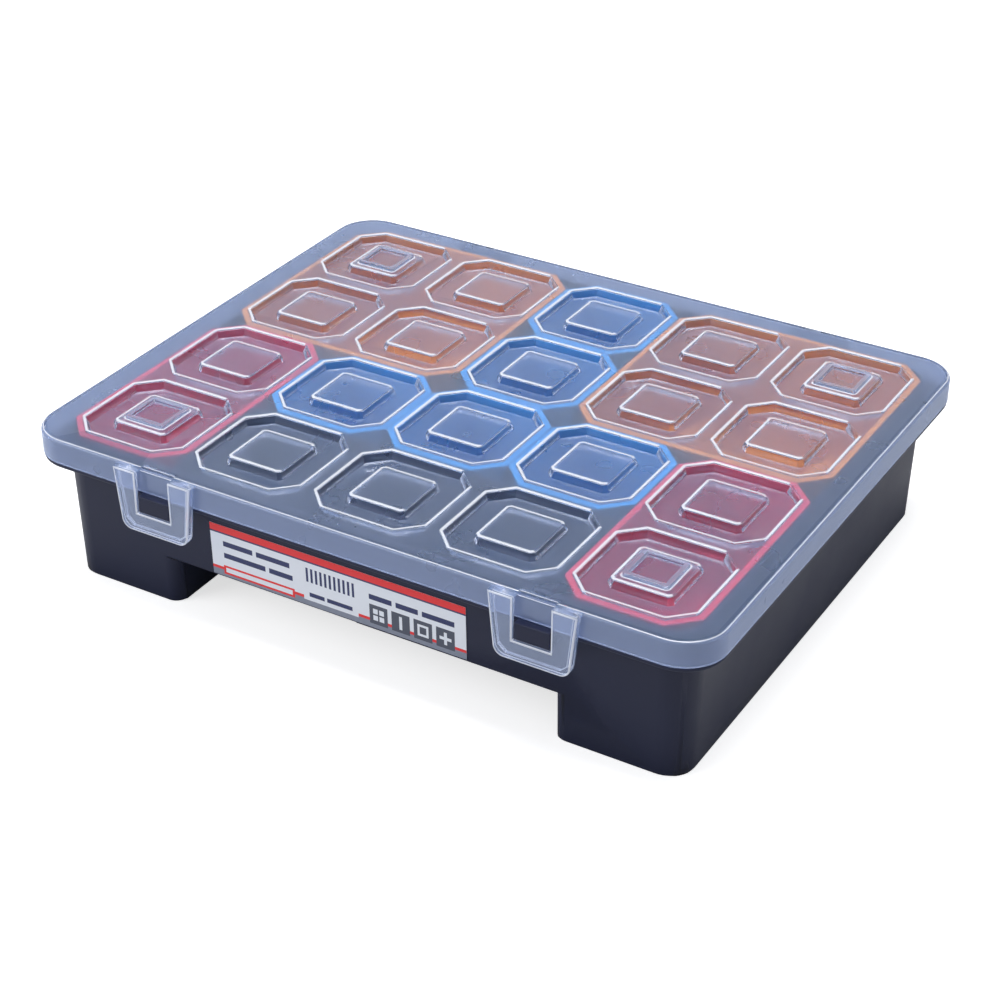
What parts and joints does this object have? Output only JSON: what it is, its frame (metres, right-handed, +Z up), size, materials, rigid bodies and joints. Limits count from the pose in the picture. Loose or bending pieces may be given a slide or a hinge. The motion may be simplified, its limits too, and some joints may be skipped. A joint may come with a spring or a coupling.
{
  "type": "compartment organizer box",
  "caption": "Flat lidded box for small parts: dark moulded tray, coloured lift-out bins, frosted hinged lid with octagonal recesses and front latches.",
  "frame": {"origin": "on the ground, under the middle of the whole box", "axes": "+X to the right along the long side, +Y to the hinged back, +Z up; the latches face -Y"},
  "size_m": [0.273, 0.231, 0.062],
  "materials": {
    "tray_black": "fine moulded texture",
    "lid_clear": "frosted, see-through",
    "bin_orange": "satin moulded",
    "bin_red": "satin moulded",
    "bin_blue": "satin moulded",
    "pin_steel": "drawn wire",
    "label_paper": "satin paper"
  },
  "bodies": {
    "base": {"base_tray": "tray_black", "hinge_pin_left": "pin_steel", "hinge_pin_right": "pin_steel", "front_label": "label_paper", "orange_bin_left": "bin_orange", "orange_bin_right": "bin_orange", "red_bin_left": "bin_red", "red_bin_right": "bin_red", "blue_bin_back": "bin_blue", "blue_bin_middle": "bin_blue", "blue_bin_left": "bin_blue", "blue_bin_centre": "bin_blue", "blue_bin_right": "bin_blue"},
    "lid": {"lid": "lid_clear"},
    "latch_left": {"latch_left": "lid_clear"},
    "latch_right": {"latch_right": "lid_clear"}
  },
  "joints": [
    {"name": "lid_hinge", "type": "hinge", "parent": "base", "child": "lid", "pos_m": [0, 0.1119, 0.052], "axis": [-1, 0, 0], "range_deg": [0, 180]},
    {"name": "latch_left_hinge", "type": "hinge", "parent": "lid", "child": "latch_left", "pos_m": [-0.0762, -0.1121, 0.06], "axis": [-1, 0, 0], "range_deg": [0, 110]},
    {"name": "latch_right_hinge", "type": "hinge", "parent": "lid", "child": "latch_right", "pos_m": [0.0762, -0.1121, 0.06], "axis": [-1, 0, 0], "range_deg": [0, 110]}
  ]
}
